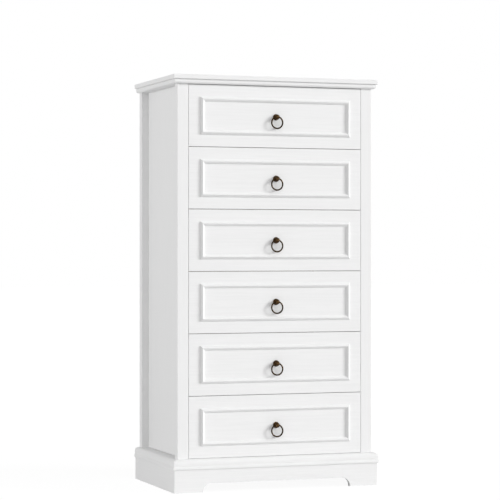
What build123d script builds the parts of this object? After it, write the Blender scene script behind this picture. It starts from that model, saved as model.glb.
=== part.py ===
from build123d import *
import math
import os

# A tall chest of drawers: posts with set-back side panels, a moulded top, a plinth with a
# cut-out, and a column of inset drawers with ring pulls.
# Millimetres, +Z up, drawer fronts facing -Y. The pieces are drawn with Y = 0 on the front
# faces of the posts, and moved to the middle of the whole depth when they are written.

# Carcase
overall_height = 1200.0
body_width = 602.0
body_depth = 384.0
post_width = 33.0
post_depth = 25.0
post_edge_round = 0.8
side_panel_thickness = 12.0
side_panel_rebate = 8.0
side_panel_foot_gap = 0.9
bottom_panel_thickness = 16.0
bottom_panel_rebate = 6.0
front_rail_depth = 60.0
rear_rail_thickness = 16.0
rear_rail_height = 60.0

# Joints in the carcase
tenon_length = 8.0
tenon_shoulder = 4.0
mortise_wall = 5.0
joint_clearance = 0.2

# Top
top_board_thickness = 13.0
top_side_overhang = 16.0
top_front_overhang = 16.0
top_corner_round = 2.0
top_edge_round = 1.6
top_lower_edge_round = 1.7
top_moulding_height = 13.0
top_moulding_projection = 11.0
top_moulding_soffit = 6.0
top_moulding_round_height = 7.0
top_quirk_height = 0.7
top_quirk_depth = 0.9

# Plinth and base moulding
plinth_height = 66.0
plinth_thickness = 13.0
cutout_width = 455.0
cutout_height = 26.0
cutout_corner_radius = 24.0
base_moulding_height = 30.7
base_face_projection = 15.4
base_round_radius = 12.0
base_bead_height = 11.5
base_bead_projection = 17.2
base_bead_fullest_height = 4.6
base_underside_projection = 15.8
base_quirk_height = 0.6
base_quirk_projection = 14.6

# Back panel, its nails and the two holes for a wall strap
back_panel_thickness = 3.0
back_panel_rebate = 10.0
back_panel_lap = 30.0
nail_radius = 0.8
nail_length = 12.0
nail_head_radius = 2.2
nail_head_thickness = 0.8
nail_clearance = 0.05
nail_margin = 40.0
nails_per_post = 8
nails_per_rail = 4
strap_hole_radius = 2.0
strap_hole_spacing = 300.0
strap_hole_depth = 12.0

# Drawer fronts and their raised frames
drawer_count = 6
drawer_gap = 1.4
drawer_side_gap = 0.9
drawer_floor_gap = 0.7
front_thickness = 18.0
front_edge_round = 0.6
frame_margin = 34.6
frame_strip_width = 13.0
frame_strip_height = 7.5
frame_strip_lip = 2.0
frame_crest_radius = 1.2

# Drawer boxes
box_lift = 8.0
box_height = 140.0
box_rear_gap = 15.0
box_side_thickness = 14.0
box_back_thickness = 14.0
box_back_drop = 10.0
box_bottom_thickness = 5.0
box_bottom_lift = 10.0
box_groove_depth = 6.0
groove_clearance = 0.2

# Runners that the drawer sides are grooved for
runner_level = 70.0
runner_height = 16.0
runner_projection = 10.0
runner_rear_gap = 12.0
runner_clearance = 0.5
runner_screw_inset = 40.0
runner_screw_radius = 1.75
runner_screw_length = 16.0
runner_screw_head_radius = 3.5
runner_screw_head_height = 2.5
screw_clearance = 0.05

# Pulls
rosette_radius = 9.3
rosette_thickness = 3.2
rosette_edge_round = 2.4
eye_neck_radius = 5.0
eye_radius = 7.5
eye_distance = 10.2
ring_radius = 17.0
ring_wire_radius = 2.2
ring_clearance = 0.3
pull_screw_radius = 2.0
pull_screw_depth = 6.0
pull_screw_head_radius = 4.0
pull_screw_head_height = 2.6
pull_hole_clearance = 0.3

# Levels and faces that several pieces share
half_width = body_width / 2
opening_half_width = half_width - post_width
post_height = overall_height - top_board_thickness
opening_top = post_height - top_moulding_height
base_height = plinth_height + base_moulding_height
bottom_panel_underside = base_height - bottom_panel_thickness
panel_outer_face = opening_half_width + side_panel_thickness
rear_post_front = body_depth - post_depth
back_panel_face = body_depth - back_panel_thickness
rear_rail_front = back_panel_face - rear_rail_thickness
rear_top_rail_underside = post_height - rear_rail_height
rear_bottom_rail_underside = bottom_panel_underside - rear_rail_height
back_panel_bottom = bottom_panel_underside - back_panel_lap
strap_hole_level = post_height - rear_rail_height / 2

# Drawer sizes that follow from the opening
front_height = (opening_top - base_height - drawer_floor_gap) / drawer_count - drawer_gap
front_half_width = opening_half_width - drawer_side_gap
drawer_pitch = front_height + drawer_gap
box_rear = rear_rail_front - box_rear_gap
box_inner_half_width = front_half_width - box_side_thickness
box_floor = box_lift + box_bottom_lift + box_bottom_thickness
runner_front = front_thickness + runner_clearance
runner_rear = rear_rail_front - runner_rear_gap
runner_inner_face = opening_half_width - runner_projection
runner_underside = box_lift + runner_level - runner_height / 2
runner_top = runner_underside + runner_height

# The ring's wire is curved, so its hole through the eye is wider than the wire
ring_rise_in_hole = ring_radius - math.sqrt(ring_radius**2 - eye_radius**2)
ring_slope_at_mouth = math.asin(eye_radius / ring_radius)
ring_hole_radius = ring_rise_in_hole / 2 + ring_wire_radius / math.cos(ring_slope_at_mouth) + ring_clearance
ring_centre_drop = ring_radius - ring_rise_in_hole / 2

# The middle of the whole depth, from the foremost face to the back
foremost = max(eye_distance + eye_radius, base_bead_projection, top_front_overhang)
middle_of_depth = (body_depth - foremost) / 2


def block(left, right, front, back, bottom, top):
    """A rectangular solid between six planes."""
    middle = Pos((left + right) / 2, (front + back) / 2, (bottom + top) / 2)
    return middle * Box(right - left, back - front, top - bottom)


def eased_block(bounds, room):
    """The same solid with room added on all six sides, to cut the space that a piece fits."""
    left, right, front, back, bottom, top = bounds
    return block(left - room, right + room, front - room, back + room, bottom - room, top + room)


def rod_along_y(x, z, front, back, radius):
    return Pos(x, (front + back) / 2, z) * Rot(90, 0, 0) * Cylinder(radius, back - front)


def rod_along_x(y, z, left, right, radius):
    return Pos((left + right) / 2, y, z) * Rot(0, 90, 0) * Cylinder(radius, right - left)


def to_the_right(piece):
    """The right-hand copy of a left-hand piece."""
    return mirror(piece, about=Plane.YZ)


def spread(first, last, count):
    """Evenly spaced places from first to last."""
    return [first + (last - first) * i / (count - 1) for i in range(count)]


# Top board

def make_top_board():
    side = half_width + top_side_overhang
    board = block(-side, side, -top_front_overhang, body_depth, post_height, overall_height)
    uprights = board.edges().filter_by(Axis.Z).group_by(Axis.Y)[0]
    board = fillet(uprights, top_corner_round)
    board = fillet(board.faces().sort_by(Axis.Z)[-1].edges(), top_edge_round)
    return fillet(board.faces().sort_by(Axis.Z)[0].edges(), top_lower_edge_round)


# Strips that run round the front and the two sides, mitred at the front corners

def make_mitred_surround(section, reach):
    """Front, left and right strips of one section, drawn as projection across and height up."""
    front_plane = Plane(origin=(0, 0, 0), x_dir=(0, -1, 0), z_dir=(-1, 0, 0))
    left_plane = Plane(origin=(-half_width, -reach, 0), x_dir=(-1, 0, 0), z_dir=(0, 1, 0))
    front_bar = extrude(front_plane * section, half_width + reach, both=True)
    left_bar = extrude(left_plane * section, body_depth + reach)
    left_corner = (-half_width - reach, -reach)
    right_corner = (half_width + reach, -reach)
    front_plan = Polyline(left_corner, right_corner, (half_width, 0), (-half_width, 0), close=True)
    left_plan = Polyline(
        left_corner, (-half_width, 0), (-half_width, body_depth),
        (-half_width - reach, body_depth), close=True)
    front = front_bar & extrude(make_face(front_plan), overall_height)
    left = left_bar & extrude(make_face(left_plan), overall_height)
    return front, left, to_the_right(left)


def top_moulding_section():
    """Flat underside, a rounded lower edge, an upright face and a small step under the board."""
    round_top = opening_top + top_moulding_round_height
    step_bottom = post_height - top_quirk_height
    step_face = top_moulding_projection - top_quirk_depth
    lower_round = TangentArc(
        (top_moulding_projection, round_top), (top_moulding_soffit, opening_top), tangent=(0, -1))
    straight = Polyline(
        (top_moulding_soffit, opening_top), (0, opening_top), (0, post_height),
        (step_face, post_height), (step_face, step_bottom),
        (top_moulding_projection, step_bottom), (top_moulding_projection, round_top))
    return make_face([lower_round, *straight.edges()])


def base_moulding_section():
    """A bead at the bottom, a fine groove, an upright face and a rounded top edge."""
    bead_top = plinth_height + base_bead_height
    bead_fullest = (base_bead_projection, plinth_height + base_bead_fullest_height)
    face_bottom = bead_top + base_quirk_height
    round_bottom = base_height - base_round_radius
    round_centre = (base_face_projection - base_round_radius, round_bottom)
    bead_foot = TangentArc(bead_fullest, (base_underside_projection, plinth_height), tangent=(0, -1))
    bead_shoulder = TangentArc(bead_fullest, (base_quirk_projection, bead_top), tangent=(0, 1))
    upright = Polyline(
        (base_quirk_projection, bead_top), (base_quirk_projection, face_bottom),
        (base_face_projection, face_bottom), (base_face_projection, round_bottom))
    top_round = CenterArc(round_centre, base_round_radius, 0, 90)
    inner = Polyline(
        (base_face_projection - base_round_radius, base_height), (0, base_height),
        (0, plinth_height), (base_underside_projection, plinth_height))
    return make_face([bead_foot, bead_shoulder, *upright.edges(), top_round, *inner.edges()])


def plinth_section():
    corners = [(0, 0), (plinth_thickness, 0), (plinth_thickness, plinth_height), (0, plinth_height)]
    return make_face(Polyline(*corners, close=True))


def cut_plinth_front(board):
    """The shallow opening between the two feet, with rounded upper corners."""
    opening = block(-cutout_width / 2, cutout_width / 2, -plinth_thickness, 0, -cutout_height, cutout_height)
    upper_corners = opening.edges().filter_by(Axis.Y).group_by(Axis.Z)[-1]
    return board - fillet(upper_corners, cutout_corner_radius)


# Rails and their tenons

def side_tenons(bottom, top):
    """The front and rear tenons of a left-hand rail, as bounds."""
    left = -half_width + mortise_wall
    right = -opening_half_width - tenon_length - mortise_wall
    low = bottom + tenon_shoulder
    high = top - tenon_shoulder
    front = (left, right, post_depth - tenon_length, post_depth, low, high)
    rear = (left, right, rear_post_front, rear_post_front + tenon_length, low, high)
    return front, rear


def cross_tenon(front, back, bottom, top):
    """The left-hand tenon of a rail that runs across the chest, as bounds."""
    left = -opening_half_width - tenon_length
    return (left, -opening_half_width, front, back, bottom + tenon_shoulder, top - tenon_shoulder)


top_side_tenons = side_tenons(opening_top, post_height)
bottom_side_tenons = side_tenons(plinth_height, base_height)
front_rail_tenon = cross_tenon(mortise_wall, post_depth - mortise_wall, opening_top, post_height)
rear_rail_tenon_faces = (rear_rail_front + tenon_shoulder, back_panel_face - tenon_shoulder)
rear_top_tenon = cross_tenon(*rear_rail_tenon_faces, rear_top_rail_underside, post_height)
rear_bottom_tenon = cross_tenon(*rear_rail_tenon_faces, rear_bottom_rail_underside, bottom_panel_underside)


def make_left_rail(bottom, top, tenons):
    rail = block(-half_width, -opening_half_width, post_depth, rear_post_front, bottom, top)
    for tenon in tenons:
        rail += block(*tenon)
    return rail


def make_cross_rail(front, back, bottom, top, tenon):
    rail = block(-opening_half_width, opening_half_width, front, back, bottom, top)
    left_tenon = block(*tenon)
    return rail + left_tenon + to_the_right(left_tenon)


def cut_bottom_panel_rebate(rail):
    """The shoulder along a left-hand bottom rail that the bottom panel sits in."""
    edge = -opening_half_width - bottom_panel_rebate
    return rail - block(edge, -opening_half_width, 0, body_depth, bottom_panel_underside, base_height)


# Panels

def make_left_side_panel():
    front = post_depth - side_panel_rebate + joint_clearance
    back = rear_post_front + side_panel_rebate - joint_clearance
    foot = base_height + side_panel_foot_gap
    panel = block(-panel_outer_face, -opening_half_width, front, back, foot, opening_top)
    for y, z in runner_screw_places():
        panel -= rod_along_x(y, z, *runner_screw_span(), runner_screw_radius + screw_clearance)
    return panel


def make_bottom_panel():
    across = opening_half_width + bottom_panel_rebate
    edge_front = post_depth + joint_clearance
    edge_back = rear_post_front - joint_clearance
    middle = block(
        -opening_half_width, opening_half_width, 0, back_panel_face, bottom_panel_underside, base_height)
    return middle + block(-across, across, edge_front, edge_back, bottom_panel_underside, base_height)


def back_panel_half_width():
    return opening_half_width + back_panel_rebate - joint_clearance


def make_back_panel():
    across = back_panel_half_width()
    panel = block(-across, across, back_panel_face, body_depth, back_panel_bottom, post_height)
    for x, z in nail_places():
        panel -= nail_space(x, z)
    for x in strap_hole_places():
        panel -= rod_along_y(x, strap_hole_level, back_panel_face, body_depth, strap_hole_radius)
    return panel


# Nails and strap holes in the back

def strap_hole_places():
    return [-strap_hole_spacing / 2, strap_hole_spacing / 2]


def nail_places():
    """Rows of nails down both rear posts and along both rear rails."""
    post_x = opening_half_width + back_panel_rebate / 2
    low = bottom_panel_underside + nail_margin
    high = rear_top_rail_underside - nail_margin
    rail_x = opening_half_width - nail_margin
    places = [(x, z) for x in (-post_x, post_x) for z in spread(low, high, nails_per_post)]
    for z in (bottom_panel_underside - back_panel_lap / 2, strap_hole_level):
        places += [(x, z) for x in spread(-rail_x, rail_x, nails_per_rail)]
    return places


def make_nail(x, z):
    shank = rod_along_y(x, z, body_depth - nail_length, body_depth, nail_radius)
    return shank + rod_along_y(x, z, body_depth - nail_head_thickness, body_depth, nail_head_radius)


def nail_space(x, z):
    """The hole that one nail leaves in the back panel and in what it is nailed to."""
    tip = body_depth - nail_length - nail_clearance
    shank = rod_along_y(x, z, tip, body_depth, nail_radius + nail_clearance)
    head_front = body_depth - nail_head_thickness
    return shank + rod_along_y(x, z, head_front, body_depth, nail_head_radius + nail_clearance)


def cut_nail_holes(piece, wanted):
    for x, z in nail_places():
        if wanted(x, z):
            piece -= nail_space(x, z)
    return piece


# Posts

def make_left_post(front):
    post = block(-half_width, -opening_half_width, front, front + post_depth, 0, post_height)
    post = fillet(post.edges().filter_by(Axis.Z), post_edge_round)
    for tenon in (*top_side_tenons, *bottom_side_tenons):
        post -= eased_block(tenon, joint_clearance)
    rebate_front = post_depth - side_panel_rebate
    rebate_back = rear_post_front + side_panel_rebate
    return post - block(
        -panel_outer_face, -opening_half_width, rebate_front, rebate_back, base_height, opening_top)


def make_front_left_post():
    return make_left_post(0) - eased_block(front_rail_tenon, joint_clearance)


def make_rear_left_post():
    post = make_left_post(rear_post_front)
    for tenon in (rear_top_tenon, rear_bottom_tenon):
        post -= eased_block(tenon, joint_clearance)
    rebate_edge = -opening_half_width - back_panel_rebate
    post -= block(
        rebate_edge, -opening_half_width, back_panel_face, body_depth, back_panel_bottom, post_height)
    return cut_nail_holes(post, lambda x, z: x < -opening_half_width)


def make_rear_top_rail():
    rail = make_cross_rail(
        rear_rail_front, back_panel_face, rear_top_rail_underside, post_height, rear_top_tenon)
    for x in strap_hole_places():
        hole_tip = body_depth - strap_hole_depth
        rail -= rod_along_y(x, strap_hole_level, hole_tip, back_panel_face, strap_hole_radius)
    return cut_nail_holes(rail, lambda x, z: z == strap_hole_level)


def make_rear_bottom_rail():
    rail = make_cross_rail(
        rear_rail_front, back_panel_face, rear_bottom_rail_underside, bottom_panel_underside,
        rear_bottom_tenon)
    return cut_nail_holes(rail, lambda x, z: z < bottom_panel_underside)


# Runners: one strip on each side for each drawer

def drawer_bottom(index):
    """The level of a drawer front's lower edge, counting from the top drawer."""
    return base_height + drawer_floor_gap + (drawer_count - 1 - index) * drawer_pitch


def runner_screw_span():
    """The two ends of a left-hand runner screw, tip first."""
    return -runner_inner_face - runner_screw_length, -runner_inner_face


def runner_screw_rows():
    return runner_front + runner_screw_inset, runner_rear - runner_screw_inset


def runner_screw_places():
    middle = (runner_underside + runner_top) / 2
    return [(y, drawer_bottom(i) + middle) for i in range(drawer_count) for y in runner_screw_rows()]


def make_left_runner(index):
    level = drawer_bottom(index)
    strip = block(
        -opening_half_width, -runner_inner_face, runner_front, runner_rear,
        level + runner_underside, level + runner_top)
    tip, end = runner_screw_span()
    head = end - runner_screw_head_height
    z = level + (runner_underside + runner_top) / 2
    for y in runner_screw_rows():
        strip -= rod_along_x(y, z, tip, end, runner_screw_radius + screw_clearance)
        strip -= rod_along_x(y, z, head, end, runner_screw_head_radius + screw_clearance)
    return strip


def make_left_runner_screw(y, z):
    tip, end = runner_screw_span()
    head = end - runner_screw_head_height + screw_clearance
    shank = rod_along_x(y, z, tip + screw_clearance, end, runner_screw_radius)
    return shank + rod_along_x(y, z, head, end, runner_screw_head_radius)


# Drawers, drawn with the lower edge of the front at Z = 0

def make_drawer_front():
    front = block(-front_half_width, front_half_width, 0, front_thickness, 0, front_height)
    front = fillet(front.faces().sort_by(Axis.Y)[0].edges(), front_edge_round)
    groove_side = box_inner_half_width + box_groove_depth
    front -= block(
        -groove_side, groove_side, front_thickness - box_groove_depth, front_thickness,
        box_lift + box_bottom_lift, box_floor + groove_clearance)
    pull_hole_radius = pull_screw_radius + pull_hole_clearance
    return front - rod_along_y(0, front_height / 2, 0, front_thickness, pull_hole_radius)


def frame_strip_section():
    """A low upright edge, two straight slopes and a rounded crest."""
    half = frame_strip_width / 2
    crest_centre = frame_strip_height - frame_crest_radius
    rise = crest_centre - frame_strip_lip
    slope = math.atan2(rise, half) + math.asin(frame_crest_radius / math.hypot(half, rise))
    crest_start = half - frame_crest_radius * math.sin(slope)
    crest_start_height = crest_centre + frame_crest_radius * math.cos(slope)
    crest_end = frame_strip_width - crest_start
    crest = ThreePointArc(
        (crest_start, crest_start_height), (half, frame_strip_height), (crest_end, crest_start_height))
    sides = Polyline(
        (crest_end, crest_start_height), (frame_strip_width, frame_strip_lip), (frame_strip_width, 0),
        (0, 0), (0, frame_strip_lip), (crest_start, crest_start_height))
    return make_face([crest, *sides.edges()])


def make_frame_strip(plane, length, inward):
    """One strip of the raised frame along a side of the given length, mitred at both ends."""
    bar = extrude(plane * frame_strip_section(), length / 2, both=True)
    start = plane.origin - plane.z_dir * (length / 2)
    end = plane.origin + plane.z_dir * (length / 2)
    step_in = inward * frame_strip_width
    shorten = plane.z_dir * frame_strip_width
    outline = make_face(Polyline(start, end, end - shorten + step_in, start + shorten + step_in, close=True))
    return bar & extrude(outline, frame_strip_height, dir=(0, -1, 0))


def make_drawer_frame():
    """The four strips, the lower and the upper one and then the left and the right one."""
    side = front_half_width - frame_margin
    low = frame_margin
    high = front_height - frame_margin
    middle = (low + high) / 2
    half_turn = Pos(0, 0, middle) * Rot(0, 180, 0) * Pos(0, 0, -middle)
    lower_plane = Plane(origin=(0, 0, low), x_dir=(0, 0, 1), z_dir=(1, 0, 0))
    left_plane = Plane(origin=(-side, 0, middle), x_dir=(1, 0, 0), z_dir=(0, 0, -1))
    lower = make_frame_strip(lower_plane, 2 * side, Vector(0, 0, 1))
    left = make_frame_strip(left_plane, high - low, Vector(1, 0, 0))
    return [lower, half_turn * lower, left, half_turn * left]


def make_drawer_box():
    """Two grooved sides, a back that stands on the bottom, and the bottom."""
    top = box_lift + box_height
    bottom_face = box_lift + box_bottom_lift
    groove_side = -box_inner_half_width - box_groove_depth
    left = block(-front_half_width, -box_inner_half_width, front_thickness, box_rear, box_lift, top)
    left -= block(
        -front_half_width, -runner_inner_face + runner_clearance, front_thickness, box_rear,
        runner_underside - runner_clearance, runner_top + runner_clearance)
    left -= block(
        groove_side, -box_inner_half_width, front_thickness, box_rear,
        bottom_face, box_floor + groove_clearance)
    back_front = box_rear - box_back_thickness
    back = block(
        -box_inner_half_width, box_inner_half_width, back_front, box_rear, box_floor, top - box_back_drop)
    across = box_inner_half_width + box_groove_depth - groove_clearance
    bottom_front = front_thickness - box_groove_depth + groove_clearance
    bottom = block(-across, across, bottom_front, box_rear, bottom_face, box_floor)
    return [left, to_the_right(left), back, bottom]


def make_pull():
    """The rosette with its eye for the ring, and the screw that holds it from inside the drawer."""
    z = front_height / 2
    rosette = rod_along_y(0, z, -rosette_thickness, 0, rosette_radius)
    rosette = fillet(rosette.edges().group_by(Axis.Y)[0], rosette_edge_round)
    eye = rod_along_y(0, z, -eye_distance, 0, eye_neck_radius)
    eye += Pos(0, -eye_distance, z) * Sphere(eye_radius)
    pull = rosette + eye
    pull -= rod_along_x(-eye_distance, z, -eye_radius, eye_radius, ring_hole_radius)
    pull -= rod_along_y(0, z, -pull_screw_depth - screw_clearance, 0, pull_screw_radius + screw_clearance)
    screw = rod_along_y(0, z, -pull_screw_depth, front_thickness, pull_screw_radius)
    head_back = front_thickness + pull_screw_head_height
    return [pull, screw + rod_along_y(0, z, front_thickness, head_back, pull_screw_head_radius)]


def make_ring():
    centre = Pos(0, -eye_distance, front_height / 2 - ring_centre_drop)
    return centre * Rot(90, 0, 0) * Torus(ring_radius, ring_wire_radius)


# Every piece by name

def carcase_pieces():
    pieces = {"top_board": make_top_board()}
    surrounds = {
        "top_moulding": make_mitred_surround(top_moulding_section(), top_moulding_projection),
        "base_moulding": make_mitred_surround(base_moulding_section(), base_bead_projection),
        "plinth": make_mitred_surround(plinth_section(), plinth_thickness),
    }
    for name, strips in surrounds.items():
        for place, strip in zip(("front", "left", "right"), strips):
            pieces[f"{name}_{place}"] = strip
    pieces["plinth_front"] = cut_plinth_front(pieces["plinth_front"])

    lefts = {
        "front_{}_post": make_front_left_post(),
        "rear_{}_post": make_rear_left_post(),
        "{}_side_panel": make_left_side_panel(),
        "{}_top_rail": make_left_rail(opening_top, post_height, top_side_tenons),
        "{}_bottom_rail": cut_bottom_panel_rebate(
            make_left_rail(plinth_height, base_height, bottom_side_tenons)),
        "{}_runners": Compound([make_left_runner(i) for i in range(drawer_count)]),
    }
    for name, piece in lefts.items():
        pieces[name.format("left")] = piece
        pieces[name.format("right")] = to_the_right(piece)

    pieces["front_top_rail"] = make_cross_rail(
        0, front_rail_depth, opening_top, post_height, front_rail_tenon)
    pieces["rear_top_rail"] = make_rear_top_rail()
    pieces["rear_bottom_rail"] = make_rear_bottom_rail()
    pieces["bottom_panel"] = make_bottom_panel()
    pieces["back_panel"] = make_back_panel()
    pieces["back_panel_nails"] = Compound([make_nail(x, z) for x, z in nail_places()])
    screws = [make_left_runner_screw(y, z) for y, z in runner_screw_places()]
    pieces["runner_screws"] = Compound(screws + [to_the_right(screw) for screw in screws])
    return pieces


def drawer_pieces():
    drawer = {
        "front": make_drawer_front(),
        "front_moulding": Compound(make_drawer_frame()),
        "box": Compound(make_drawer_box()),
        "pull": Compound(make_pull()),
        "ring": make_ring(),
    }
    pieces = {}
    for i in range(drawer_count):
        for name, piece in drawer.items():
            pieces[f"drawer_{i + 1}_{name}"] = Pos(0, 0, drawer_bottom(i)) * piece
    return pieces


os.makedirs("parts", exist_ok=True)
for node, piece in {**carcase_pieces(), **drawer_pieces()}.items():
    export_step(Pos(0, -middle_of_depth, 0) * piece, f"parts/{node}.step")
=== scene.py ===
import math

import bmesh
import bpy
from mathutils import Matrix, Vector


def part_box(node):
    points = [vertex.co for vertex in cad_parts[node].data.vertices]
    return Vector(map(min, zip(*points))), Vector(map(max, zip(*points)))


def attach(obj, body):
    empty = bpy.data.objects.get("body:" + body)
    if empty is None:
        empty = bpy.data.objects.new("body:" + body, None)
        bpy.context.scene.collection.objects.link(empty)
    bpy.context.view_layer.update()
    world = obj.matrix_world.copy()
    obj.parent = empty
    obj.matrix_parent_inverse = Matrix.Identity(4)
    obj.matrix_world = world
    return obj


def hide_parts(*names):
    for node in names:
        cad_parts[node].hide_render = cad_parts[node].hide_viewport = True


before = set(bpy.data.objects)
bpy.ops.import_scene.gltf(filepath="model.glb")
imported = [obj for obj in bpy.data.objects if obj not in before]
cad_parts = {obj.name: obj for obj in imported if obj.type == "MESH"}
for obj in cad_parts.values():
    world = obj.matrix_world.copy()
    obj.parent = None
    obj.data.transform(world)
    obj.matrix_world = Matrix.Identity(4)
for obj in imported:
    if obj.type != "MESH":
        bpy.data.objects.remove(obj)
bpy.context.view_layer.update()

bl_info = {
    "name": "Tall Chest of Drawers",
    "version": (1, 0, 0),
    "blender": (4, 5, 0),
    "location": "3D View > Sidebar > Chest",
    "description": "Finishes a painted chest of drawers, its framed fronts and its ring pulls",
    "category": "Object",
}

DRAWERS = range(1, 7)

# Boards grouped by the way their grain runs
GRAIN_ACROSS = (
    "top_board", "front_top_rail", "bottom_panel",
    "top_moulding_front", "base_moulding_front", "plinth_front",
)
GRAIN_DEEP = tuple(
    name.format(side) for side in ("left", "right")
    for name in ("top_moulding_{}", "base_moulding_{}", "plinth_{}", "{}_top_rail", "{}_bottom_rail"))
GRAIN_UPRIGHT = tuple(
    name.format(side) for side in ("left", "right")
    for name in ("front_{}_post", "rear_{}_post", "{}_side_panel"))
PLAIN_RAILS = ("rear_top_rail", "rear_bottom_rail")
RUNNERS = ("left_runners", "right_runners")
FIXINGS = ("back_panel_nails", "runner_screws")

# Sockets of a mix node: its factor, and for each kind of data both inputs and the result
MIX_FACTOR = 0
MIX_SOCKETS = {"VECTOR": (4, 5, 1), "RGBA": (6, 7, 2)}
# How strongly the grain tells on boards that run each way
GRAIN_CONTRAST = {"X": 1.4, "Y": 0.8, "Z": 0.8}
# Share of the bronze colours that each kind shows, and its polish. Both kinds are one bronze: the rosette's
# is made lighter as painted light and sheen, and the ring's is made darker as painted shade
BRONZES = {"rosette_bronze": (1.1, 0.15), "ring_bronze": (0.6, 0.0)}
# From the outside of a drawer box to where the grain turns, just inside its sides
BOX_GRAIN_TURN = 0.0145

# Points this close lie in one plane, or are one point
FLAT = 1e-6
SAME_POINT = 2e-6
# How far a point on the mouth of an eye's hole may lie from the hole and from the ball
MOUTH_HOLE_SLACK = 3e-5
MOUTH_BALL_SLACK = 6e-5
# Sides of the round shapes
ROSETTE_SIDES = 72
EYE_SIDES = 64
EYE_ROWS = 32
SCREW_SIDES = 48
RING_SIDES = 128
WIRE_SIDES = 28

# Heading to the right of straight in front, height and width of each lamp, in degrees
LAMPS = {
    "key": (61.0, 18.0, 16.0),
    "side": (36.0, 10.0, 40.0),
    "front": (-5.0, 15.0, 60.0),
    "left": (-95.0, 3.2, 10.0),
}
LAMP_DISTANCE = 4.0
FLOOR_SIZE = 60.0
SENSOR_WIDTH = 36.0
# Colour of the floor for each share of shadow that it keeps, so that the lit floor stays white
FLOOR_TINT = 1.7


# Materials

class Shade:
    """A value inside a finish; arithmetic on it adds the nodes that work it out."""

    def __init__(self, finish, socket):
        self.finish = finish
        self.socket = socket

    def __add__(self, other):
        return self.finish.maths("ADD", self, other)

    __radd__ = __add__

    def __sub__(self, other):
        return self.finish.maths("SUBTRACT", self, other)

    def __rsub__(self, other):
        return self.finish.maths("SUBTRACT", other, self)

    def __mul__(self, other):
        return self.finish.maths("MULTIPLY", self, other)

    __rmul__ = __mul__

    def __gt__(self, other):
        return self.finish.maths("GREATER_THAN", self, other)

    def __abs__(self):
        return self.finish.maths("ABSOLUTE", self)


class Finish:
    """The nodes of one material or of the world."""

    def __init__(self, owner):
        owner.use_nodes = True
        self.owner = owner
        self.tree = owner.node_tree
        self.tree.nodes.clear()

    def node(self, kind, settings=None, inputs=None, output=0):
        """Add a node of a type, make its settings, then feed its sockets."""
        made = self.tree.nodes.new(kind)
        for key, value in (settings or {}).items():
            setattr(made, key, value)
        for key, value in (inputs or {}).items():
            if isinstance(value, Shade):
                self.tree.links.new(value.socket, made.inputs[key])
            else:
                made.inputs[key].default_value = value
        return Shade(self, made.outputs[output]) if len(made.outputs) else made

    def maths(self, operation, *values):
        return self.node("ShaderNodeMath", {"operation": operation}, dict(enumerate(values)))

    def limit(self, value):
        """Keep a value between nothing and all."""
        return self.node("ShaderNodeClamp", None, {"Value": value})

    def step(self, value, low, high):
        """Nothing below low, all above high and a smooth rise between them."""
        return self.node(
            "ShaderNodeMapRange", {"interpolation_type": "SMOOTHSTEP"},
            {"Value": value, "From Min": low, "From Max": high})

    def place(self):
        """The point on the chest, in metres."""
        return self.node("ShaderNodeTexCoord", None, None, "Object")

    def part(self, vector, axis):
        return self.node("ShaderNodeSeparateXYZ", None, {"Vector": vector}, "XYZ".index(axis))

    def stretch(self, vector, amounts):
        return self.node("ShaderNodeVectorMath", {"operation": "MULTIPLY"}, {0: vector, 1: amounts})

    def noise(self, vector, scale, detail=2.0, roughness=0.5, distortion=0.0):
        return self.node("ShaderNodeTexNoise", None, {
            "Vector": vector, "Scale": scale, "Detail": detail,
            "Roughness": roughness, "Distortion": distortion})

    def mix(self, kind, amount, first, second):
        """Pass from the first value to the second as the amount grows."""
        one, other, result = MIX_SOCKETS[kind]
        inputs = {MIX_FACTOR: amount, one: first, other: second}
        return self.node("ShaderNodeMix", {"data_type": kind}, inputs, result)

    def blend(self, amount, first, second):
        return self.mix("RGBA", amount, first, second)

    def bump(self, height, distance, below=None):
        inputs = {"Height": height, "Distance": distance}
        if below is not None:
            inputs["Normal"] = below
        return self.node("ShaderNodeBump", None, inputs)

    def close(self, inputs):
        """Finish the material with one surface shader."""
        surface = self.node("ShaderNodeBsdfPrincipled", None, inputs)
        self.node("ShaderNodeOutputMaterial", None, {"Surface": surface})


def opaque(colour):
    return (*colour, 1.0)


def darker(colour, share):
    return opaque([channel * share for channel in colour])


def along_grain(axis, along):
    """Pattern scales that are drawn out along one axis."""
    return tuple(along if letter == axis else 1.0 for letter in "XYZ")


def make_lacquer(settings, name, axis, contrast):
    """Satin white lacquer over brushed wood whose grain still shows faintly."""
    finish = Finish(bpy.data.materials.new(name))
    place = finish.place()
    fine_way = finish.stretch(place, along_grain(axis, along=0.035))
    broad_way = finish.stretch(place, along_grain(axis, along=0.06))
    grain = finish.noise(fine_way, scale=210.0, detail=5.0, roughness=0.6)
    figure = finish.noise(broad_way, scale=38.0, detail=3.0, roughness=0.55, distortion=0.4)
    spray = finish.noise(place, scale=1400.0, detail=1.0)
    mottle = finish.noise(place, scale=7.0)
    white = settings.lacquer_colour
    pores = finish.step(grain, low=0.60, high=0.78)
    streaks = finish.step(grain, low=0.36, high=0.64)
    shift = settings.grain_tone * contrast
    tone = finish.blend(
        finish.limit(0.3 * figure + 0.25 * mottle + 0.45 * streaks),
        darker(white, 1.0 - shift), darker(white, 1.0 + shift))
    colour = finish.blend(pores * 0.35, tone, darker(white, 0.9))
    rough = settings.lacquer_roughness - 0.05 + 0.1 * mottle + 0.06 * pores
    fine = finish.bump(spray, settings.spray_depth)
    normal = finish.bump(grain + 0.6 * figure, settings.grain_depth, fine)
    finish.close({
        "Base Color": colour, "Roughness": rough, "Normal": normal,
        "Specular IOR Level": 0.28, "Coat Weight": 0.05, "Coat Roughness": 0.32})


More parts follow.
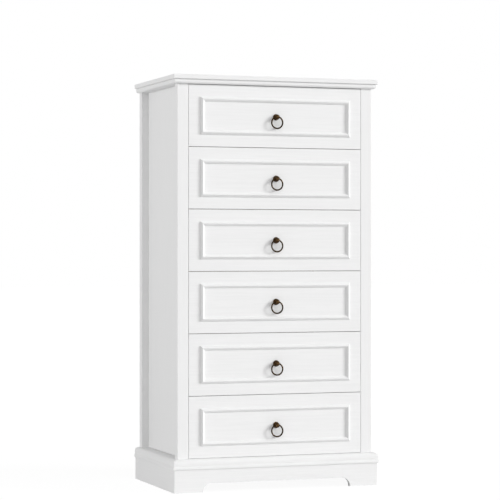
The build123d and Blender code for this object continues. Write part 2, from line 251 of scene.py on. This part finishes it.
def make_pale_wood(settings, name, colour, axis=None, side_edge=0.0):
    """Sealed wood; with no axis, boards beyond side_edge run deep and the others across."""
    finish = Finish(bpy.data.materials.new(name))
    place = finish.place()
    stretched = 0.045
    way = finish.stretch(place, along_grain(axis or "X", stretched))
    if axis is None:
        deep = finish.stretch(place, along_grain("Y", stretched))
        beyond = abs(finish.part(place, "X")) > side_edge
        way = finish.mix("VECTOR", beyond, way, deep)
    rings = finish.noise(way, scale=34.0, detail=3.0, distortion=0.9)
    bands = finish.node(
        "ShaderNodeTexWave", {"wave_type": "BANDS", "bands_direction": "DIAGONAL"},
        {"Vector": way, "Scale": 22.0, "Distortion": 9.0, "Detail": 3.0, "Detail Scale": 1.6}, "Fac")
    fibre = finish.noise(way, scale=640.0, detail=3.0, roughness=0.6)
    pores = finish.step(fibre, low=0.6, high=0.74)
    tone = finish.blend(
        finish.limit(0.6 * rings + 0.4 * bands), darker(colour, 0.86), darker(colour, 1.1))
    shade = finish.blend(pores * 0.4, tone, darker(colour, 0.62))
    rough = 0.42 + 0.14 * fibre + 0.1 * pores
    finish.close({
        "Base Color": shade, "Roughness": rough,
        "Normal": finish.bump(fibre + 0.4 * bands, settings.wood_depth)})


def make_hardboard(settings, name):
    """Pressed brown board with short fibres lying every way."""
    finish = Finish(bpy.data.materials.new(name))
    place = finish.place()
    flat = finish.stretch(place, (1.0, 0.15, 1.0))
    upright = finish.stretch(place, (1.0, 0.2, 0.3))
    felt = finish.noise(flat, scale=900.0, detail=3.0, roughness=0.65, distortion=0.8)
    cloud = finish.noise(flat, scale=14.0, detail=3.0, roughness=0.55)
    flecks = finish.step(finish.noise(upright, scale=520.0), low=0.64, high=0.72)
    board = settings.hardboard_colour
    tone = finish.blend(finish.limit(0.5 * felt + 0.5 * cloud), darker(board, 0.74), darker(board, 1.22))
    shade = finish.blend(flecks * 0.5, tone, darker(board, 1.7))
    rough = 0.5 + 0.22 * felt
    finish.close({
        "Base Color": shade, "Roughness": rough, "Normal": finish.bump(felt, settings.felt_depth)})


def make_bronze(settings, name, share, polish):
    """Dark aged bronze, cloudy brown and rubbed brighter in patches; share scales its colours, above one as
    painted light and below one as painted shade.
    """
    finish = Finish(bpy.data.materials.new(name))
    place = finish.place()
    cloud = finish.noise(place, scale=260.0, detail=4.0, roughness=0.6, distortion=0.6)
    speck = finish.noise(place, scale=1500.0, roughness=0.6)
    rubbed = finish.step(finish.noise(place, scale=120.0), low=0.5, high=0.68)
    dark = settings.bronze_colour
    tone = finish.blend(
        finish.step(cloud, low=0.35, high=0.65), darker(dark, 0.72 * share), darker(dark, 1.2 * share))
    shade = finish.blend(rubbed * 0.55, tone, darker(settings.bronze_rubbed_colour, share))
    rough = settings.bronze_roughness + 0.16 * cloud - 0.1 * rubbed
    normal = finish.bump(0.5 * speck + cloud, settings.cast_depth)
    finish.close({
        "Base Color": shade, "Metallic": 0.92 - 0.2 * finish.step(speck, low=0.55, high=0.7),
        "Roughness": rough, "Normal": normal,
        "Specular Tint": darker(settings.bronze_edge_colour, share),
        "Coat Weight": polish, "Coat Roughness": 0.1})


def make_zinc(settings, name):
    """Bright zinc plate with a fine crystal bloom."""
    finish = Finish(bpy.data.materials.new(name))
    place = finish.place()
    bloom = finish.noise(place, scale=900.0, detail=3.0, roughness=0.6)
    tarnish = finish.step(finish.noise(place, scale=220.0), low=0.5, high=0.75)
    steel = settings.zinc_colour
    tone = finish.blend(bloom, darker(steel, 0.8), darker(steel, 1.15))
    shade = finish.blend(tarnish * 0.4, tone, darker(steel, 0.55))
    finish.close({
        "Base Color": shade, "Metallic": 1.0, "Roughness": 0.26 + 0.2 * bloom,
        "Normal": finish.bump(bloom, settings.bloom_depth)})


def finish_named(name):
    material = bpy.data.materials.get(name)
    if material is None:
        raise RuntimeError(f"the finish {name} has not been mixed yet")
    return material


def coat(piece, material):
    """Give a whole piece one finish."""
    piece.data.materials.clear()
    piece.data.materials.append(material)


def coat_nodes(nodes, material):
    for node in nodes:
        coat(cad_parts[node], material)


# Modelling by hand, one piece at a time

def begin():
    """Leave nothing selected, so that the next primitive is alone."""
    if bpy.context.mode != "OBJECT":
        bpy.ops.object.mode_set(mode="OBJECT")
    bpy.ops.object.select_all(action="DESELECT")


def named(name):
    """Name the primitive just added and put its place, turn and size into its mesh."""
    piece = bpy.context.object
    piece.name = name
    piece.data.name = name
    bpy.ops.object.transform_apply(location=True, rotation=True, scale=True)
    return piece


def edit():
    bpy.ops.object.mode_set(mode="EDIT")


def done():
    bpy.ops.object.mode_set(mode="OBJECT")


def pick(kind, test):
    """Select the vertices, edges or faces of the piece in hand that pass a test."""
    bpy.ops.mesh.select_mode(type=kind)
    bpy.ops.mesh.select_all(action="DESELECT")
    shape = bmesh.from_edit_mesh(bpy.context.edit_object.data)
    parts = {"VERT": shape.verts, "EDGE": shape.edges, "FACE": shape.faces}[kind]
    found = [part for part in parts if test(part)]
    if not found:
        raise RuntimeError(f"nothing to shape on {bpy.context.edit_object.name}")
    for part in found:
        part.select_set(True)
    shape.select_flush_mode()
    bmesh.update_edit_mesh(bpy.context.edit_object.data)


def extrude(offset):
    bpy.ops.mesh.extrude_region_move(TRANSFORM_OT_translate={"value": offset})


def combine(piece, other, operation):
    """Add another shape to a piece or cut it out, and remove the other shape."""
    change = piece.modifiers.new("combine", "BOOLEAN")
    change.operation = operation
    change.solver = "EXACT"
    change.object = other
    bpy.context.view_layer.objects.active = piece
    bpy.ops.object.modifier_apply(modifier=change.name)
    bpy.data.objects.remove(other)
    bpy.ops.object.select_all(action="DESELECT")
    piece.select_set(True)


def tidy_mesh(angle):
    """Merge doubles, face everything outwards and smooth all but the sharp edges."""
    edit()
    bpy.ops.mesh.select_all(action="SELECT")
    bpy.ops.mesh.remove_doubles(threshold=SAME_POINT)
    bpy.ops.mesh.normals_make_consistent(inside=False)
    done()
    bpy.ops.object.shade_smooth_by_angle(angle=angle)


def copies(piece, rises):
    """The piece and its copies for the other drawers, each with its own mesh."""
    stem = piece.name
    pieces = [piece]
    for rise in rises[1:]:
        twin = piece.copy()
        twin.data = piece.data.copy()
        twin.data.transform(Matrix.Translation((0.0, 0.0, rise)))
        bpy.context.scene.collection.objects.link(twin)
        pieces.append(twin)
    for index, made in zip(DRAWERS, pieces):
        made.name = f"{stem}_{index}"
        made.data.name = made.name
    return pieces


def middle_of(node):
    low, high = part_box(node)
    return (low + high) / 2


def drawer_rises(node):
    """How far each drawer stands above the first one."""
    first = middle_of(node.format(1)).z
    return [middle_of(node.format(index)).z - first for index in DRAWERS]


def model_frame(settings):
    """A raised frame: a flat ring inset from one plane, lifted, sloped and rounded at the crest."""
    low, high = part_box("drawer_1_front_moulding")
    middle = (low + high) / 2
    wide, tall, proud = high.x - low.x, high.z - low.z, high.y - low.y
    half = settings.strip_width / 2
    # The flank climbs from the lip to where it meets the round of the crest
    rise = proud - settings.strip_lip - settings.crest_radius
    slope = math.atan2(rise, half) + math.asin(settings.crest_radius / math.hypot(half, rise))
    run = (proud - settings.strip_lip) / math.tan(slope)
    begin()
    bpy.ops.mesh.primitive_plane_add(
        size=1.0, location=(middle.x, high.y, middle.z), rotation=(math.pi / 2, 0.0, 0.0))
    bpy.context.object.scale = (wide, tall, 1.0)
    piece = named("drawer_frame")
    edit()
    bpy.ops.mesh.select_all(action="SELECT")
    bpy.ops.mesh.inset(thickness=settings.strip_width)
    bpy.ops.mesh.delete(type="FACE")
    bpy.ops.mesh.select_all(action="SELECT")
    extrude((0.0, -settings.strip_lip, 0.0))
    bpy.ops.mesh.inset(thickness=run, depth=proud - settings.strip_lip)
    pick("EDGE", lambda edge: all(abs(end.co.y - low.y) < FLAT for end in edge.verts) and (
        abs(edge.verts[0].co.x - edge.verts[1].co.x) < FLAT
        or abs(edge.verts[0].co.z - edge.verts[1].co.z) < FLAT))
    just_short = 0.995
    bpy.ops.mesh.bevel(
        offset=just_short * (half - run), segments=4, profile=0.5, clamp_overlap=False)
    done()
    tidy_mesh(angle=math.radians(40))
    return piece


def model_pull(settings):
    """A round rosette with a neck and a ball that is pierced from side to side for the ring."""
    low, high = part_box("drawer_1_pull")
    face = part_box("drawer_1_front")[0].y
    radius = (high.z - low.z) / 2
    level = (low.z + high.z) / 2
    rim = face - settings.rosette_thickness
    ball = Vector((0.0, low.y + settings.eye_radius, level))
    begin()
    bpy.ops.mesh.primitive_cylinder_add(
        vertices=ROSETTE_SIDES, radius=radius, depth=settings.rosette_thickness,
        location=(0.0, (face + rim) / 2, level), rotation=(math.pi / 2, 0.0, 0.0))
    piece = named("pull_rosette")
    edit()
    pick("EDGE", lambda edge: all(abs(end.co.y - rim) < FLAT for end in edge.verts))
    bpy.ops.mesh.bevel(offset=settings.rosette_round, segments=9, profile=0.5)
    pick("FACE", lambda part: len(part.verts) > 4 and abs(part.calc_center_median().y - rim) < FLAT)
    bpy.ops.mesh.inset(thickness=radius - settings.rosette_round - settings.neck_radius)
    extrude((0.0, ball.y - rim, 0.0))
    done()
    bpy.ops.object.select_all(action="DESELECT")
    bpy.ops.mesh.primitive_uv_sphere_add(
        segments=EYE_SIDES, ring_count=EYE_ROWS, radius=settings.eye_radius,
        location=ball, rotation=(math.pi / 2, 0.0, 0.0))
    combine(piece, named("eye"), "UNION")
    bpy.ops.object.select_all(action="DESELECT")
    bpy.ops.mesh.primitive_cylinder_add(
        vertices=EYE_SIDES, radius=settings.ring_hole_radius, depth=4 * settings.eye_radius,
        location=ball, rotation=(0.0, math.pi / 2, 0.0))
    combine(piece, named("hole"), "DIFFERENCE")
    edit()

    def on_mouth(vertex):
        from_hole = math.hypot(vertex.co.y - ball.y, vertex.co.z - ball.z) - settings.ring_hole_radius
        from_ball = (vertex.co - ball).length - settings.eye_radius
        return abs(from_hole) < MOUTH_HOLE_SLACK and abs(from_ball) < MOUTH_BALL_SLACK

    pick("EDGE", lambda edge: all(on_mouth(end) for end in edge.verts))
    bpy.ops.mesh.bevel(offset=settings.mouth_round, segments=3, profile=0.5)
    done()
    tidy_mesh(angle=math.radians(35))
    return piece


def model_screw(settings):
    """The round head of the screw behind a drawer front, with a crossed slot."""
    low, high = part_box("drawer_1_pull")
    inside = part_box("drawer_1_front")[1].y
    thick = high.y - inside
    middle = (low.z + high.z) / 2
    begin()
    bpy.ops.mesh.primitive_cylinder_add(
        vertices=SCREW_SIDES, radius=settings.screw_head_radius, depth=thick,
        location=(0.0, inside + thick / 2, middle), rotation=(math.pi / 2, 0.0, 0.0))
    piece = named("pull_screw")
    edit()
    pick("EDGE", lambda edge: all(abs(end.co.y - high.y) < FLAT for end in edge.verts))
    domed_share = 0.6
    bpy.ops.mesh.bevel(offset=thick * domed_share, segments=6, profile=0.5)
    done()
    long, narrow = settings.slot_length, settings.slot_width
    for wide, tall in ((long, narrow), (narrow, long)):
        bpy.ops.object.select_all(action="DESELECT")
        bpy.ops.mesh.primitive_cube_add(size=1.0, location=(0.0, high.y, middle))
        bpy.context.object.scale = (wide, 2 * settings.slot_depth, tall)
        combine(piece, named("slot"), "DIFFERENCE")
    tidy_mesh(angle=math.radians(30))
    return piece


def model_ring(settings):
    """A round ring, a little thicker at the bottom where it is pulled."""
    low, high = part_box("drawer_1_ring")
    middle = (low + high) / 2
    wire = (high.y - low.y) / 2 - settings.ring_swell
    begin()
    bpy.ops.mesh.primitive_torus_add(
        location=middle, rotation=(math.pi / 2, 0.0, 0.0),
        major_segments=RING_SIDES, minor_segments=WIRE_SIDES,
        major_radius=(high.x - low.x) / 2 - (high.y - low.y) / 2, minor_radius=wire)
    piece = named("pull_ring")
    swell = piece.vertex_groups.new(name="swell")
    for vertex in piece.data.vertices:
        share = (high.z - vertex.co.z) / (high.z - low.z)
        swell.add([vertex.index], share * share, "REPLACE")
    change = piece.modifiers.new("thicken", "DISPLACE")
    change.direction = "NORMAL"
    change.mid_level = 0.0
    change.strength = settings.ring_swell
    change.vertex_group = swell.name
    bpy.ops.object.modifier_apply(modifier=change.name)
    tidy_mesh(angle=math.radians(60))
    return piece


# Settings that a user would change

class CHEST_PG_finishes(bpy.types.PropertyGroup):
    """Colours and surfaces of the chest"""
    lacquer_colour: bpy.props.FloatVectorProperty(
        name="Lacquer", description="White of the painted boards", subtype="COLOR",
        size=3, min=0.0, max=1.0, default=(0.86, 0.86, 0.86))
    lacquer_roughness: bpy.props.FloatProperty(
        name="Lacquer Roughness", description="Satin of the painted boards", subtype="FACTOR",
        min=0.0, max=1.0, default=0.5)
    grain_depth: bpy.props.FloatProperty(
        name="Grain Depth", description="How far the grain tells through the paint", unit="LENGTH",
        default=0.00003)
    grain_tone: bpy.props.FloatProperty(
        name="Grain Tone", description="How far the grain lightens and darkens the paint",
        subtype="FACTOR", min=0.0, max=1.0, default=0.02)
    spray_depth: bpy.props.FloatProperty(
        name="Spray Depth", description="Depth of the fine orange peel in the paint", unit="LENGTH",
        default=0.000012)
    pale_wood_colour: bpy.props.FloatVectorProperty(
        name="Drawer Wood", description="Sealed wood of the drawer boxes", subtype="COLOR",
        size=3, min=0.0, max=1.0, default=(0.62, 0.47, 0.29))
    runner_colour: bpy.props.FloatVectorProperty(
        name="Runner Wood", description="Waxed hardwood of the runners", subtype="COLOR",
        size=3, min=0.0, max=1.0, default=(0.40, 0.24, 0.12))
    wood_depth: bpy.props.FloatProperty(
        name="Wood Pores", description="Depth of the pores in bare wood", unit="LENGTH",
        default=0.00008)
    hardboard_colour: bpy.props.FloatVectorProperty(
        name="Back Panel", description="Pressed board of the back", subtype="COLOR",
        size=3, min=0.0, max=1.0, default=(0.30, 0.18, 0.09))
    felt_depth: bpy.props.FloatProperty(
        name="Felt Depth", description="Depth of the fibres in the back panel", unit="LENGTH",
        default=0.00006)
    bronze_colour: bpy.props.FloatVectorProperty(
        name="Bronze", description="Aged metal of the pulls", subtype="COLOR",
        size=3, min=0.0, max=1.0, default=(0.048, 0.026, 0.009))
    bronze_rubbed_colour: bpy.props.FloatVectorProperty(
        name="Rubbed Bronze", description="Metal where hands have worn the pulls", subtype="COLOR",
        size=3, min=0.0, max=1.0, default=(0.15, 0.087, 0.036))
    bronze_edge_colour: bpy.props.FloatVectorProperty(
        name="Bronze Edge", description="What the pulls reflect where they turn away", subtype="COLOR",
        size=3, min=0.0, max=1.0, default=(0.24, 0.15, 0.07))
    bronze_roughness: bpy.props.FloatProperty(
        name="Bronze Roughness", description="Sheen of the pulls", subtype="FACTOR",
        min=0.0, max=1.0, default=0.22)
    cast_depth: bpy.props.FloatProperty(
        name="Cast Depth", description="Unevenness of the cast pulls", unit="LENGTH", default=0.00005)
    zinc_colour: bpy.props.FloatVectorProperty(
        name="Zinc", description="Plated screws and nails", subtype="COLOR",
        size=3, min=0.0, max=1.0, default=(0.55, 0.56, 0.58))
    bloom_depth: bpy.props.FloatProperty(
        name="Bloom Depth", description="Depth of the crystals in the zinc", unit="LENGTH",
        default=0.00002)


class CHEST_PG_fittings(bpy.types.PropertyGroup):
    """Sizes of the modelled frames and pulls"""
    strip_width: bpy.props.FloatProperty(
        name="Strip Width", description="Width of a raised strip", unit="LENGTH", default=0.013)
    strip_lip: bpy.props.FloatProperty(
        name="Strip Lip", description="Upright edge at the foot of a strip", unit="LENGTH", default=0.002)
    crest_radius: bpy.props.FloatProperty(
        name="Crest Radius", description="Rounding along the top of a strip", unit="LENGTH",
        default=0.0012)
    rosette_thickness: bpy.props.FloatProperty(
        name="Rosette Thickness", description="How far a pull's rosette stands out", unit="LENGTH",
        default=0.0032)
    rosette_round: bpy.props.FloatProperty(
        name="Rosette Round", description="Rounding of a rosette's rim", unit="LENGTH", default=0.0024)
    neck_radius: bpy.props.FloatProperty(
        name="Neck Radius", description="Radius between rosette and eye", unit="LENGTH", default=0.005)
    eye_radius: bpy.props.FloatProperty(
        name="Eye Radius", description="Radius of the ball that holds the ring", unit="LENGTH",
        default=0.0075)
    ring_hole_radius: bpy.props.FloatProperty(
        name="Ring Hole", description="Radius of the hole for the ring", unit="LENGTH",
        default=0.00362)
    mouth_round: bpy.props.FloatProperty(
        name="Hole Round", description="Rounding at the mouths of the ring's hole", unit="LENGTH",
        default=0.0004)
    ring_swell: bpy.props.FloatProperty(
        name="Ring Swell", description="Extra wire radius at the bottom of a ring", unit="LENGTH",
        default=0.00012)
    screw_head_radius: bpy.props.FloatProperty(
        name="Screw Head", description="Radius of a pull's screw head", unit="LENGTH", default=0.004)
    slot_length: bpy.props.FloatProperty(
        name="Slot Length", description="Length of a slot in a screw head", unit="LENGTH",
        default=0.0046)
    slot_width: bpy.props.FloatProperty(
        name="Slot Width", description="Width of a slot in a screw head", unit="LENGTH",
        default=0.00095)
    slot_depth: bpy.props.FloatProperty(
        name="Slot Depth", description="Depth of a slot in a screw head", unit="LENGTH",
        default=0.0015)


class CHEST_PG_stage(bpy.types.PropertyGroup):
    """Camera, floor and light"""
    camera_place: bpy.props.FloatVectorProperty(
        name="Camera", description="Where the camera stands, from the foot of the front's middle",
        subtype="TRANSLATION", size=3, default=(-1.99426, -5.374, 0.69656))
    camera_heading: bpy.props.FloatProperty(
        name="Heading", description="Turn of the camera about the upright", subtype="ANGLE",
        default=math.radians(-19.602))
    lens: bpy.props.FloatProperty(
        name="Lens", description="Focal length in millimetres", default=141.52)
    fill: bpy.props.FloatProperty(
        name="Fill", description="Even light from all round", default=0.412)
    key_strength: bpy.props.FloatProperty(
        name="Key", description="Strength of the light that rakes the front from the right",
        default=1.78)
    side_strength: bpy.props.FloatProperty(
        name="Right Front", description="Strength of the soft light at the right of the front",
        default=0.675)
    front_strength: bpy.props.FloatProperty(
        name="Front", description="Strength of the broad light straight in front", default=0.455)
    left_strength: bpy.props.FloatProperty(
        name="Left", description="Strength of the level light on the left side", default=0.975)
    floor_bounce: bpy.props.FloatProperty(
        name="Floor Bounce", description="How much light the floor sends back up", subtype="FACTOR",
        min=0.0, max=1.0, default=0.74)
    floor_shadow: bpy.props.FloatProperty(
        name="Floor Shadow", description="How much of the shadow the white floor keeps",
        subtype="FACTOR", min=0.0, max=1.0, default=0.06)


# Operators

class ChestOperator:
    """What the steps have in common"""
    bl_options = {"REGISTER", "UNDO"}


class CHEST_OT_mix_finishes(ChestOperator, bpy.types.Operator):
    """Mix the lacquer, wood, board and metal finishes"""
    bl_idname = "chest.mix_finishes"
    bl_label = "Mix Finishes"

    def execute(self, context):
        settings = context.scene.chest_finishes
        for axis, contrast in GRAIN_CONTRAST.items():
            make_lacquer(settings, f"white_lacquer_{axis.lower()}", axis, contrast)
        side_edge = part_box("drawer_1_box")[1].x - BOX_GRAIN_TURN
        make_pale_wood(settings, "drawer_wood", settings.pale_wood_colour, side_edge=side_edge)
        make_pale_wood(settings, "rail_wood", settings.pale_wood_colour, axis="X")
        make_pale_wood(settings, "runner_wood", settings.runner_colour, axis="Y")
        make_hardboard(settings, "hardboard")
        for name, (share, polish) in BRONZES.items():
            make_bronze(settings, name, share, polish)
        make_zinc(settings, "zinc_plate")
        return {"FINISHED"}


class CHEST_OT_paint_carcase(ChestOperator, bpy.types.Operator):
    """Lacquer the top, posts, panels, mouldings and plinth along their grain"""
    bl_idname = "chest.paint_carcase"
    bl_label = "Paint Carcase"

    def execute(self, context):
        coat_nodes(GRAIN_ACROSS, finish_named("white_lacquer_x"))
        coat_nodes(GRAIN_DEEP, finish_named("white_lacquer_y"))
        coat_nodes(GRAIN_UPRIGHT, finish_named("white_lacquer_z"))
        return {"FINISHED"}


class CHEST_OT_finish_back(ChestOperator, bpy.types.Operator):
    """Finish the back panel, the rear rails, the runners and their fixings"""
    bl_idname = "chest.finish_back"
    bl_label = "Finish Back and Runners"

    def execute(self, context):
        coat_nodes(["back_panel"], finish_named("hardboard"))
        coat_nodes(PLAIN_RAILS, finish_named("rail_wood"))
        coat_nodes(RUNNERS, finish_named("runner_wood"))
        coat_nodes(FIXINGS, finish_named("zinc_plate"))
        return {"FINISHED"}


class CHEST_OT_finish_drawers(ChestOperator, bpy.types.Operator):
    """Lacquer the drawer fronts and seal the drawer boxes"""
    bl_idname = "chest.finish_drawers"
    bl_label = "Finish Drawers"

    def execute(self, context):
        coat_nodes([f"drawer_{index}_front" for index in DRAWERS], finish_named("white_lacquer_x"))
        coat_nodes([f"drawer_{index}_box" for index in DRAWERS], finish_named("drawer_wood"))
        return {"FINISHED"}


class CHEST_OT_make_frames(ChestOperator, bpy.types.Operator):
    """Model the raised frame of each drawer front"""
    bl_idname = "chest.make_frames"
    bl_label = "Make Drawer Frames"

    def execute(self, context):
        piece = model_frame(context.scene.chest_fittings)
        coat(piece, finish_named("white_lacquer_x"))
        for index, made in zip(DRAWERS, copies(piece, drawer_rises("drawer_{}_front_moulding"))):
            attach(made, f"drawer_{index}")
            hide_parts(f"drawer_{index}_front_moulding")
        return {"FINISHED"}


class CHEST_OT_make_pulls(ChestOperator, bpy.types.Operator):
    """Model the rosette and eye of each pull and the screw behind it"""
    bl_idname = "chest.make_pulls"
    bl_label = "Make Pulls"

    def execute(self, context):
        rises = drawer_rises("drawer_{}_pull")
        rosette = model_pull(context.scene.chest_fittings)
        coat(rosette, finish_named("rosette_bronze"))
        for index, made in zip(DRAWERS, copies(rosette, rises)):
            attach(made, f"drawer_{index}")
            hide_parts(f"drawer_{index}_pull")
        screw = model_screw(context.scene.chest_fittings)
        coat(screw, finish_named("zinc_plate"))
        for index, made in zip(DRAWERS, copies(screw, rises)):
            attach(made, f"drawer_{index}")
        return {"FINISHED"}


class CHEST_OT_make_rings(ChestOperator, bpy.types.Operator):
    """Model the ring that hangs from each eye"""
    bl_idname = "chest.make_rings"
    bl_label = "Make Rings"

    def execute(self, context):
        ring = model_ring(context.scene.chest_fittings)
        coat(ring, finish_named("ring_bronze"))
        for index, made in zip(DRAWERS, copies(ring, drawer_rises("drawer_{}_ring"))):
            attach(made, f"ring_{index}")
            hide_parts(f"drawer_{index}_ring")
        return {"FINISHED"}


class CHEST_OT_set_stage(ChestOperator, bpy.types.Operator):
    """Set the camera, the white floor and the soft light"""
    bl_idname = "chest.set_stage"
    bl_label = "Set Stage"

    def execute(self, context):
        stage = context.scene.chest_stage
        self.add_camera(context, stage)
        self.add_floor(stage)
        self.light_world(context, stage)
        self.add_lamps(stage)
        context.scene.view_settings.view_transform = "Standard"
        return {"FINISHED"}

    def add_camera(self, context, stage):
        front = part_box("front_left_post")[0].y
        begin()
        bpy.ops.object.camera_add(
            location=Vector(stage.camera_place) + Vector((0.0, front, 0.0)),
            rotation=(math.pi / 2, 0.0, stage.camera_heading))
        camera = context.object
        camera.name = "photo_camera"
        camera.data.lens = stage.lens
        camera.data.sensor_width = SENSOR_WIDTH
        context.scene.camera = camera

    def seen_plainly(self, finish):
        """Rays that show the white around the chest: straight to it, mirrored or through glass."""
        path = finish.tree.nodes.new("ShaderNodeLightPath")
        kinds = [Shade(finish, path.outputs[name]) for name in (
            "Is Camera Ray", "Is Glossy Ray", "Is Transmission Ray")]
        return finish.limit(kinds[0] + kinds[1] + kinds[2])

    def add_floor(self, stage):
        begin()
        bpy.ops.mesh.primitive_plane_add(size=FLOOR_SIZE)
        floor = named("floor")
        finish = Finish(bpy.data.materials.new("white_floor"))
        paper = finish.node("ShaderNodeBsdfDiffuse", None, {"Color": opaque([stage.floor_bounce] * 3)})
        tint = FLOOR_TINT * stage.floor_shadow
        shaded = finish.node("ShaderNodeBsdfDiffuse", None, {"Color": opaque([tint] * 3)})
        glow = finish.node("ShaderNodeEmission", None, {
            "Color": (1.0, 1.0, 1.0, 1.0), "Strength": 1.0 - stage.floor_shadow})
        white = finish.node("ShaderNodeAddShader", None, {0: shaded, 1: glow})
        mixed = finish.node("ShaderNodeMixShader", None, {0: self.seen_plainly(finish), 1: paper, 2: white})
        finish.node("ShaderNodeOutputMaterial", None, {"Surface": mixed})
        coat(floor, finish.owner)

    def light_world(self, context, stage):
        world = bpy.data.worlds.new("studio")
        context.scene.world = world
        finish = Finish(world)
        pure = opaque((1.0, 1.0, 1.0))
        fill = finish.node("ShaderNodeBackground", None, {"Color": pure, "Strength": stage.fill})
        white = finish.node("ShaderNodeBackground", None, {"Color": pure, "Strength": 1.0})
        mixed = finish.node("ShaderNodeMixShader", None, {0: self.seen_plainly(finish), 1: fill, 2: white})
        finish.node("ShaderNodeOutputWorld", None, {"Surface": mixed})

    def add_lamps(self, stage):
        """Far, soft lamps, each turned from straight in front to the right and raised."""
        for name, angles in LAMPS.items():
            turn, rise, width = (math.radians(angle) for angle in angles)
            towards = Vector((
                math.sin(turn) * math.cos(rise), -math.cos(turn) * math.cos(rise), math.sin(rise)))
            begin()
            bpy.ops.object.light_add(type="SUN", location=LAMP_DISTANCE * towards)
            lamp = bpy.context.object
            lamp.name = f"{name}_lamp"
            lamp.rotation_euler = (-towards).to_track_quat("-Z", "Y").to_euler()
            lamp.data.angle = width
            lamp.data.energy = getattr(stage, f"{name}_strength")


class CHEST_PT_sidebar(bpy.types.Panel):
    """Steps that finish the chest, in order"""
    bl_idname = "CHEST_PT_sidebar"
    bl_label = "Chest of Drawers"
    bl_space_type = "VIEW_3D"
    bl_region_type = "UI"
    bl_category = "Chest"

    def draw(self, context):
        for operator in OPERATORS:
            self.layout.operator(operator.bl_idname)
        for group in ("chest_finishes", "chest_fittings", "chest_stage"):
            box = self.layout.box()
            settings = getattr(context.scene, group)
            for name in settings.__annotations__:
                box.prop(settings, name)


OPERATORS = (
    CHEST_OT_mix_finishes,
    CHEST_OT_paint_carcase,
    CHEST_OT_finish_back,
    CHEST_OT_finish_drawers,
    CHEST_OT_make_frames,
    CHEST_OT_make_pulls,
    CHEST_OT_make_rings,
    CHEST_OT_set_stage,
)
CLASSES = (CHEST_PG_finishes, CHEST_PG_fittings, CHEST_PG_stage, *OPERATORS, CHEST_PT_sidebar)


def register():
    for cls in CLASSES:
        bpy.utils.register_class(cls)
    bpy.types.Scene.chest_finishes = bpy.props.PointerProperty(type=CHEST_PG_finishes)
    bpy.types.Scene.chest_fittings = bpy.props.PointerProperty(type=CHEST_PG_fittings)
    bpy.types.Scene.chest_stage = bpy.props.PointerProperty(type=CHEST_PG_stage)


def unregister():
    del bpy.types.Scene.chest_stage
    del bpy.types.Scene.chest_fittings
    del bpy.types.Scene.chest_finishes
    for cls in reversed(CLASSES):
        bpy.utils.unregister_class(cls)


def main():
    register()
    bpy.ops.chest.mix_finishes()
    bpy.ops.chest.paint_carcase()
    bpy.ops.chest.finish_back()
    bpy.ops.chest.finish_drawers()
    bpy.ops.chest.make_frames()
    bpy.ops.chest.make_pulls()
    bpy.ops.chest.make_rings()
    bpy.ops.chest.set_stage()


if __name__ == "__main__":
    main()
